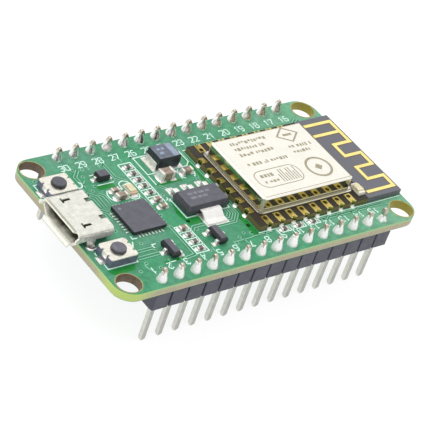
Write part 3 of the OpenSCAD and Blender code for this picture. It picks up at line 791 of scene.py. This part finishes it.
# The strokes of each digit, in a cell 0.6 wide and 1 high.
SIX = [(.54, 1), (.2, 1), (0, .7), (0, .14), (.12, 0), (.48, 0), (.6, .14), (.6, .42), (.48, .56),
       (.12, .56), (0, .42)]
DIGITS = {
    "0": [[(.12, 0), (.48, 0), (.6, .15), (.6, .85), (.48, 1), (.12, 1), (0, .85), (0, .15), (.12, 0)]],
    "1": [[(.1, .8), (.32, 1), (.32, 0)]],
    "2": [[(0, .85), (.12, 1), (.48, 1), (.6, .85), (.6, .6), (0, 0), (.6, 0)]],
    "3": [[(0, .88), (.12, 1), (.48, 1), (.6, .86), (.6, .64), (.46, .52), (.2, .52)],
          [(.46, .52), (.6, .38), (.6, .14), (.48, 0), (.12, 0), (0, .12)]],
    "4": [[(.46, 0), (.46, 1), (0, .32), (.6, .32)]],
    "5": [[(.56, 1), (.06, 1), (.02, .56), (.45, .58), (.6, .44), (.6, .14), (.48, 0), (.12, 0), (0, .12)]],
    "6": [SIX],
    "7": [[(0, 1), (.6, 1), (.22, 0)]],
    "8": [[(.12, .53), (0, .66), (0, .87), (.12, 1), (.48, 1), (.6, .87), (.6, .66), (.48, .53), (.12, .53),
           (0, .4), (0, .13), (.12, 0), (.48, 0), (.6, .13), (.6, .4), (.48, .53)]],
    "9": [[(.6 - x, 1 - y) for x, y in SIX]],
}
DIGIT_H = 0.95
DIGIT_W = 0.6 * DIGIT_H
DIGIT_STEP = 0.8
DIGIT_LINE = 0.13
LABEL_Y = PIN_ROW_Y - 1.75


def draw_number(bm, number, cx, cy, upright):
    """A plain pin number, centred, and turned round if it isn't upright."""
    text = str(number)
    turn = 1 if upright else -1
    width = DIGIT_STEP * (len(text) - 1) + DIGIT_W
    for k, digit in enumerate(text):
        for stroke in DIGITS[digit]:
            local = [(k * DIGIT_STEP + x * DIGIT_H - width / 2, (y - 0.5) * DIGIT_H) for x, y in stroke]
            ribbon(bm, [(cx + turn * x, cy + turn * y) for x, y in local], DIGIT_LINE, *SILK_Z)


def draw_labels(bm):
    for i in range(PIN_COUNT):
        draw_number(bm, i + 1, pin_x(i), -LABEL_Y, False)
        draw_number(bm, 2 * PIN_COUNT - i, pin_x(i), LABEL_Y, True)


# Part outlines in the legend: open lines, then closed ones.
SILK_LINES = [
    [(-7.9, 0.5), (-7.9, -3.05), (-6.3, -3.05)], [(-2.7, -3.05), (-1.15, -3.05), (-1.15, -2.4)],
    [(-8.5, 0.6), (-7.7, 0.6)], [(-8.1, 0.2), (-8.1, 1.0)],
    [(-10.65, 0.4), (-10.65, 8.2), (-8.75, 8.2), (-8.75, 0.4)],
    [(-23.05, -6.9), (-23.05, -7.8), (-18.7, -7.8), (-18.7, -6.9)],
    [(-23.05, -5.3), (-23.05, -4.9), (-22.9, -4.9)], [(-19.2, -4.5), (-18.7, -4.5), (-18.7, -5.1)],
    [(-23.4, 5.9), (-23.4, 5.0), (-22.9, 5.0)], [(-23.4, 7.0), (-23.4, 8.0), (-19.1, 8.0), (-19.1, 7.2)],
    [(-15.5, 5.6), (-13.0, 5.6)], [(-15.5, 7.5), (-13.0, 7.5)],
    [(-17.0, -3.7), (-17.0, -4.2), (-16.3, -4.2)], [(-11.1, 1.1), (-11.1, 1.65), (-11.7, 1.65)],
    [(-15.25, -6.4), (-15.25, -5.8), (-14.65, -5.8)], [(-14.75, -9.15), (-13.95, -9.15)],
    [(-7.95, 5.2), (-7.95, 3.45)], [(-4.0, 5.2), (-3.8, 5.2), (-3.8, 3.45)],
    [(-0.45, -8.35), (23.6, -8.35)], [(-0.45, 8.15), (19.8, 8.15)],
    arc(-14.0, 3.35, 1.35, 130, 230, 8), arc(-14.0, 3.35, 1.35, -50, 50, 8),
    arc(-2.6, 4.35, 1.15, 125, 235, 8), arc(-2.6, 4.35, 1.15, -55, 55, 8),
]
SILK_LOOPS = [
    [(-7.9, 5.45), (-1.7, 5.45), (-1.0, 6.1), (-1.0, 8.1), (-1.7, 8.75), (-7.9, 8.75)],
    rounded(-12.75, 1.95, -11.25, 5.4, 0.7),
    rectangle(-10.65, -8.95, -8.75, -4.1),
]
# Frames round the three small parts at the front, and dividers in the column of small parts.
for small_x in (3.3, 5.7, 8.1):
    SILK_LOOPS.append(rectangle(small_x - 1.0, -9.25, small_x + 1.0, -8.42))
for lane_y in (6.78, 5.55, 4.35, 3.1, 1.7, -5.2, -6.45, -7.7):
    SILK_LINES.append([(-10.65, lane_y), (-8.75, lane_y)])


def draw_legend(bm):
    draw_labels(bm)
    for line in SILK_LINES:
        ribbon(bm, line, SILK_W, *SILK_Z)
    for loop in SILK_LOOPS:
        ribbon(bm, loop, SILK_W, *SILK_Z, closed=True)
    # Plain marks beside the switches: an open ring for one, a chevron for the other.
    ribbon(bm, arc(-17.9, 6.4, 0.55, 120, 420, 14), MARK_W, *SILK_Z)
    ribbon(bm, [(-18.1, -4.6), (-17.7, -5.3), (-17.3, -4.6)], MARK_W, *SILK_Z)


piece("printed_legend", silk_white, "board_laminate", draw_legend)

# ---- pads and solder

# How far the board's tinned copper reaches beyond the metal of each part.
PAD_RIMS = {
    "regulator_leads": 0.2,
    "tantalum_terminals": 0.42,
    "transistor_left_leads": 0.14,
    "transistor_right_leads": 0.14,
    "diode_leads": 0.14,
    "bulk_capacitor_terminals": 0.26,
    "capacitor_terminals": 0.14,
    "resistor_terminals": 0.14,
    "reset_switch_terminals": 0.14,
    "flash_switch_terminals": 0.14,
}


def draw_pads(bm):
    for node, rim in PAD_RIMS.items():
        for low, high, _ in islands(node):
            plate(bm, rounded(low.x - rim, low.y - rim, high.x + rim, high.y + rim, 0.08), *PAD_Z)


piece("tinned_pads", satin_solder, "solder", draw_pads)


def solder_piece(node, mat, draw, *values, sharp=60):
    """Solder with a hand-made look, in place of a CAD node's plain shapes."""
    detail = piece(node + "_detail", mat, "solder", draw, node, *values, sharp=sharp)
    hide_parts(node)


def vertex_ring(bm, cx, cy, z, radius):
    """A ring of vertices. Its radius is a function of the angle."""
    sides = 28
    angles = [math.tau * k / sides for k in range(sides)]
    return [bm.verts.new((cx + radius(a) * math.cos(a), cy + radius(a) * math.sin(a), z))
            for a in angles]


def solder_drop(bm, cx, cy, rng, girth, ragged):
    """One header joint: a teardrop that leans a little and thins up the pin.

    A ragged one wetted badly: it is low, and uneven all round."""
    height = rng.uniform(1.38, 1.62)
    belly, neck = rng.uniform(0.84, 0.92) * girth, rng.uniform(0.33, 0.39)
    lean, lean_angle = rng.uniform(0.0, 0.07), rng.uniform(0, math.tau)
    lobe, phase = rng.uniform(0.01, 0.035), rng.uniform(0, math.tau)
    waves = 2
    if ragged:
        height, belly, lobe, waves = height * 0.55, belly * 0.92, 0.13, 5
    rows = []
    levels = 14
    for j in range(levels):
        t = j / (levels - 1)
        radius = neck + (belly - neck) * (0.5 + 0.5 * math.cos(math.pi * t ** 0.85)) ** 0.9
        drift = lean * t * t
        rows.append(vertex_ring(
            bm, cx + drift * math.cos(lean_angle), cy + drift * math.sin(lean_angle), TOP + height * t,
            lambda a: radius * (1 + lobe * (1 - t) * math.cos(waves * a + phase))))
    skin(bm, rows)
    bm.faces.new(reversed(rows[0]))
    crown = bm.verts.new((cx, cy, TOP + height + 0.06))
    top_row = rows[-1]
    for vert, following in zip(top_row, top_row[1:] + top_row[:1]):
        bm.faces.new((vert, following, crown))


def draw_header_joints(bm, node, seed, girth, ragged_end):
    rng = random.Random(seed)
    for i, (low, high, _) in enumerate(islands(node)):
        ragged = ragged_end and i == PIN_COUNT - 1
        solder_drop(bm, (low.x + high.x) / 2, (low.y + high.y) / 2, rng, girth, ragged)


def fillet_column(s, span, reach, rise):
    """One section of a fillet, at s from -1 to 1 along it: up its hollow face, then back below.

    Each point is the distance along the fillet, the distance towards the part and the height."""
    hollow = 1.7
    foot_height = 0.012
    swell = math.sqrt(max(0.0, 1 - 0.6 * s * s))
    across = s * span / 2
    steps = 6
    column = []
    for v in range(steps):
        t = v / (steps - 1)
        out = reach * swell * (1 - t) ** hollow
        up = rise * (0.55 + 0.45 * swell) * t ** hollow + foot_height
        column.append((across, reach / 2 - out, up))
    column.append((across, reach / 2, 0.0))
    column.append((across, reach / 2 - reach * swell, 0.0))
    return column


def solder_fillet(bm, low, high, group, rng, width, height):
    """A fillet in the space of one CAD wedge: foot outwards, tall side on the part."""
    centre = (low + high) / 2
    tall = [co for co in group if co.z > high.z - 0.02]
    toward = sum(tall, Vector()) / len(tall) - centre
    along_x = abs(toward.x) > abs(toward.y)
    span = ((high.y - low.y) if along_x else (high.x - low.x)) * width
    reach = (high.x - low.x) if along_x else (high.y - low.y)
    sign = math.copysign(1, toward.x if along_x else toward.y)
    rise = (high.z - low.z) * height * rng.uniform(0.85, 1.0)

    def place(across, inward, up):
        x, y = (inward * sign, across) if along_x else (across, inward * sign)
        return bm.verts.new((centre.x + x, centre.y + y, low.z + up))

    count = 7
    columns = [fillet_column(2 * c / (count - 1) - 1, span, reach, rise) for c in range(count)]
    rows = [[place(*point) for point in column] for column in columns]
    skin(bm, rows)
    bm.faces.new(rows[0])
    bm.faces.new(reversed(rows[-1]))


def draw_fillets(bm, node, seed, width, height):
    rng = random.Random(seed)
    for low, high, group in islands(node):
        solder_fillet(bm, low, high, group, rng, width, height)


def draw_leg_joints(bm, node):
    """Solder round the shell's legs: rolled rings whose middles have sunk into the holes."""
    profile = [(0.70, 0.0), (0.69, 0.12), (0.63, 0.22), (0.54, 0.25), (0.44, 0.2), (0.36, 0.1), (0.2, 0.05)]
    outwards = 0.1
    for low, high, _ in islands(node):
        middle = (low + high) / 2
        cy = middle.y + math.copysign(1, middle.y) * outwards
        rows = [vertex_ring(bm, middle.x, cy, TOP + z, lambda a: r) for r, z in profile]
        skin(bm, rows)
        bm.faces.new(rows[0])
        bm.faces.new(rows[-1])


# After each drawing function come its seed and its proportions.
# The front row has its solder painted brighter.
solder_piece("header_solder_front", white_solder, draw_header_joints, 3, 0.78, True)
solder_piece("header_solder_back", solder_tin, draw_header_joints, 7, 0.86, False)
solder_piece("component_solder", satin_solder, draw_fillets, 11, 1.0, 1.0, sharp=50)
solder_piece("module_solder", satin_solder, draw_fillets, 13, 0.8, 0.62, sharp=50)
solder_piece("usb_leg_solder", solder_tin, draw_leg_joints)

# ---- parts

soften(board_mask, 0.05, "main_board")
repaint(module_mask, "module_board")
soften(header_black, 0.07, "header_strip_front", "header_strip_back")
soften(pin_tin, 0.05, "header_pins_front", "header_pins_back")
soften(module_gold(), 0.012, "module_pads")
soften(aerial_gold, 0.012, "module_antenna")
soften(can_metal, 0.12, "module_shield", segments=4, angle=20)
soften(usb_steel, 0.06, "usb_shell", segments=3, angle=20)
soften(inner_plastic, 0.03, "usb_insulator")
soften(pad_gold, 0.015, "usb_contacts")
soften(epoxy, 0.05, "usb_bridge_chip", "transistor_left_body", "transistor_right_body", "diode_body")
soften(thick_epoxy, 0.08, "regulator_body", segments=3)
soften(tantalum_epoxy, 0.08, "tantalum_body", segments=3)
soften(brushed_tin, 0.03, "regulator_leads")
soften(fired_tin, 0.03, "tantalum_terminals")
soften(dull_tin, 0.025, "usb_bridge_pads")
soften(lead_tin, 0.025, "transistor_left_leads", "transistor_right_leads", "diode_leads",
       "reset_switch_terminals", "flash_switch_terminals")
soften(fired_tin, 0.05, "bulk_capacitor_terminals", "capacitor_terminals", "resistor_terminals")
soften(ceramic_brown, 0.04, "bulk_capacitor_body", "capacitor_bodies")
soften(resistor_film, 0.02, "resistor_bodies")
soften(power_led_case, 0.03, "power_led_base")
soften(led_white, 0.03, "module_led_base")
soften(led_resin, 0.09, "power_led_lens", "module_led_lens", segments=3)
soften(switch_grey, 0.06, "reset_switch_base", "flash_switch_base")
soften(switch_steel, 0.035, "reset_switch_cover", "flash_switch_cover")
soften(button_grey, 0.09, "flash_button", segments=3)
soften(dome_black, 0.16, "reset_button", segments=4)
repaint(epoxy, "module_processor", "module_flash_chip")
repaint(lead_tin, "module_flash_leads")
repaint(spring_steel, "module_crystal")
repaint(ceramic_brown, "module_passives")


def snap_dome(node):
    """A switch's sprung disc, with a mesh of its own; the real one flattens under its button."""
    dome = finish_mesh(node_bmesh(node), node + "_detail", spring_steel, sharp=60)
    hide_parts(node)
    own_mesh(dome)


snap_dome("reset_switch_dome")
snap_dome("flash_switch_dome")


def dash_row(bm, rng, x, y, length, z):
    """One row of small blocks of uneven width and height: it spells nothing."""
    tallest, gap, wide_gap = 0.62, 0.16, 0.45
    end = x + length
    while x < end:
        w = rng.uniform(0.2, 0.5)
        h = rng.uniform(0.3, tallest)
        lift = rng.uniform(0, tallest - h)
        plate(bm, rectangle(x, y + lift, x + w, y + lift + h), *z)
        x += w + (wide_gap if rng.random() < 0.15 else gap)


# Each row on the can is (x, y, length), from the corner of its printed area.
CAN_ROWS = [(2.2, 10.0, 5.4), (2.2, 8.9, 4.6), (2.2, 7.8, 5.6), (2.0, 5.9, 6.6),
            (10.0, 7.3, 3.4), (10.0, 6.3, 2.8)]


def draw_can_marks(bm):
    """Rows of blocks, a rounded frame in two halves, a ring and a diamond: they mean nothing."""
    thickness, margin = 0.004, 0.4
    z = (CAN_HIGH.z, CAN_HIGH.z + thickness)
    left, front = CAN_LOW.x + margin, CAN_LOW.y + margin
    rng = random.Random(21)
    for x, y, length in CAN_ROWS:
        dash_row(bm, rng, left + x, front + y, length, z)
    ribbon(bm, rounded(left + 1.3, front + 1.7, left + 8.4, front + 4.8, 1.2), 0.13, *z, closed=True)
    for y in (3.5, 2.4):
        dash_row(bm, rng, left + 2.2, front + y, 2.0, z)
    bars, bar_w, bar_step = 8, 0.16, 0.4
    for i in range(bars):
        x = left + 4.9 + i * bar_step
        bar_top = front + (4.4 if i % 3 else 3.6)
        plate(bm, rectangle(x, front + 2.1, x + bar_w, bar_top), *z)
    ring_x, ring_y = left + 11.5, front + 3.2
    ribbon(bm, ring(ring_x, ring_y, 1.75, 40), 0.34, *z, closed=True)
    plate(bm, ring(ring_x, ring_y, 0.62, 4), *z)
    diamond = [(left + 9.7, front + 9.9), (left + 11.4, front + 8.5),
               (left + 13.1, front + 9.9), (left + 11.4, front + 11.3)]
    ribbon(bm, diamond, 0.24, *z, closed=True)
    plate(bm, rectangle(left + 10.7, front + 9.7, left + 12.1, front + 10.1), *z)


def draw_can_crease(bm):
    """The lid's fold is painted as a fine line of shade just inside its edge."""
    inset, radius = 0.70, 0.2
    width, thickness = 0.08, 0.003
    fold = rounded(CAN_LOW.x + inset, CAN_LOW.y + inset, CAN_HIGH.x - inset, CAN_HIGH.y - inset, radius)
    ribbon(bm, fold, width, CAN_HIGH.z, CAN_HIGH.z + thickness, closed=True)


def draw_block_rows(bm, node, rows, height, margin_x, margin_y):
    """Rows of plain blocks where a part's printed marking would be: they spell nothing."""
    low, high = box_mm(node)
    gap, row_step, thickness = 0.2, 0.75, 0.006
    for row, widths in enumerate(rows):
        x = low.x + margin_x
        y = high.y - margin_y - row * row_step
        for w in widths:
            plate(bm, rectangle(x, y - height, x + w, y), high.z, high.z + thickness)
            x += w + gap


def draw_polarity_band(bm):
    low, high = box_mm("tantalum_body")
    margin, thickness = 0.22, 0.008
    band = rectangle(high.x - 1.15, low.y + margin, high.x - 0.3, high.y - margin)
    plate(bm, band, high.z, high.z + thickness)


def draw_first_pin_dot(bm):
    low, high = box_mm("usb_bridge_chip")
    margin, radius, thickness = 0.75, 0.24, 0.005
    plate(bm, ring(low.x + margin, high.y - margin, radius, 20), high.z, high.z + thickness)


piece("can_marks", etch, "shield_metal", draw_can_marks)
piece("can_crease", painted_crease_shade, "shield_metal", draw_can_crease)
piece("regulator_marks", epoxy_mark, "chip_plastic", draw_block_rows,
      "regulator_body", [(0.7, 0.5, 0.9, 0.6), (0.9, 0.6, 0.7)], 0.42, 1.3, 0.95)
piece("tantalum_marks", tantalum_mark, "chip_plastic", draw_block_rows,
      "tantalum_body", [(0.5, 0.4), (0.6,)], 0.4, 0.7, 0.75)
piece("tantalum_band", tantalum_mark, "chip_plastic", draw_polarity_band)
piece("bridge_first_pin_dot", epoxy_mark, "chip_plastic", draw_first_pin_dot)

# ---- rims and holes

# A thin wall lines each drilled hole, and a narrow ring goes round it on top.
LINING = 0.035
RIM_W = 0.13


def draw_antenna_rim(bm):
    ribbon(bm, outline_of("module_antenna"), 0.15, MODULE_TOP, MODULE_TOP + 0.025, closed=True)


def draw_hole_rings(bm, r, width, z0, z1):
    for x, y in HOLES:
        ribbon(bm, ring(x, y, r, 48), width, z0, z1, closed=True)


piece("antenna_rim", aerial_rim, "module_laminate", draw_antenna_rim)
piece("hole_walls", hole_resin, "board_laminate", draw_hole_rings,
      HOLE_R - LINING / 2, LINING, BOARD_LOW.z, RIM_Z[1], sharp=40)
piece("hole_rims", rim_resin, "board_laminate", draw_hole_rings, HOLE_R + 0.07, RIM_W, *RIM_Z, sharp=40)

# ---- stage

# The stage is in metres, as Blender's own scene is.
FLOOR_REACH = 1.5
FLOOR_GREY = (0.16, 0.16, 0.16)
FLOOR_GLOW = 0.865
AIR_WHITE = (1.0, 0.995, 0.985, 1)


def make_floor():
    """A table that is lit from below as well, which keeps the shadows faint."""
    bm = bmesh.new()
    bmesh.ops.create_grid(bm, x_segments=4, y_segments=4, size=FLOOR_REACH)
    mesh = bpy.data.meshes.new("studio_floor")
    bm.to_mesh(mesh)
    bm.free()
    floor = bpy.data.objects.new("studio_floor", mesh)
    floor.location.z = cad_box[0].z
    bpy.context.scene.collection.objects.link(floor)
    paper = Finish("floor_paper", FLOOR_GREY, 0.7, mottle=0.01, patch=80,
                   Emission_Color=(1, 1, 1, 1), Emission_Strength=FLOOR_GLOW)
    mesh.materials.append(paper.mat)


def soft_light(name, energy, size, location):
    """A square area light that points at the origin."""
    light = bpy.data.lights.new(name, "AREA")
    light.energy = energy
    light.size = size
    obj = bpy.data.objects.new(name, light)
    obj.location = location
    obj.rotation_euler = (-Vector(location)).to_track_quat("-Z", "Y").to_euler()
    bpy.context.scene.collection.objects.link(obj)


def make_world():
    """The room is brightest overhead and dims towards the horizon, as under a wide softbox."""
    world = bpy.data.worlds.new("studio")
    world.use_nodes = True
    tree = world.node_tree
    direction = tree.nodes.new("ShaderNodeTexCoord")
    height = tree.nodes.new("ShaderNodeSeparateXYZ")
    ramp = tree.nodes.new("ShaderNodeMapRange")
    ramp.interpolation_type = "SMOOTHSTEP"
    for socket, value in (("From Min", -0.1), ("From Max", 0.62), ("To Min", 0.30), ("To Max", 1.08)):
        ramp.inputs[socket].default_value = value
    tree.links.new(direction.outputs["Generated"], height.inputs[0])
    tree.links.new(height.outputs["Z"], ramp.inputs["Value"])
    tree.links.new(ramp.outputs[0], tree.nodes["Background"].inputs["Strength"])
    tree.nodes["Background"].inputs["Color"].default_value = AIR_WHITE
    bpy.context.scene.world = world


# Angles in degrees. Azimuth 0 looks along +Y.
AZIMUTH = -49.13
ELEVATION = 36.50
ROLL = 20.15
DISTANCE = 0.2525
AIM = Vector((-0.00271, -0.00265, 0.0))
LENS = 171.3
SENSOR = 36.0


def make_camera():
    """A camera looks down its own -Z, so its Z axis points back from the board."""
    a, e = math.radians(AZIMUTH), math.radians(ELEVATION)
    back = Vector((math.sin(a) * math.cos(e), -math.cos(a) * math.cos(e), math.sin(e)))
    right = Vector((0, 0, 1)).cross(back).normalized()
    up = back.cross(right)
    r = math.radians(ROLL)
    right, up = (right * math.cos(r) + up * math.sin(r), up * math.cos(r) - right * math.sin(r))
    data = bpy.data.cameras.new("camera")
    data.lens = LENS
    data.sensor_width = SENSOR
    data.clip_start = 0.01
    data.clip_end = 20.0
    camera = bpy.data.objects.new("camera", data)
    turn = Matrix((right, up, back)).transposed().to_4x4()
    camera.matrix_world = Matrix.Translation(AIM + back * DISTANCE) @ turn
    bpy.context.scene.collection.objects.link(camera)
    bpy.context.scene.camera = camera


make_floor()
make_world()
soft_light("key", 1.5, 0.4, (-0.15, 0.3, 0.6))
soft_light("fill", 0.35, 0.5, (-0.45, -0.2, 0.35))
make_camera()
bpy.context.scene.view_settings.view_transform = "Standard"

bpy.context.view_layer.update()
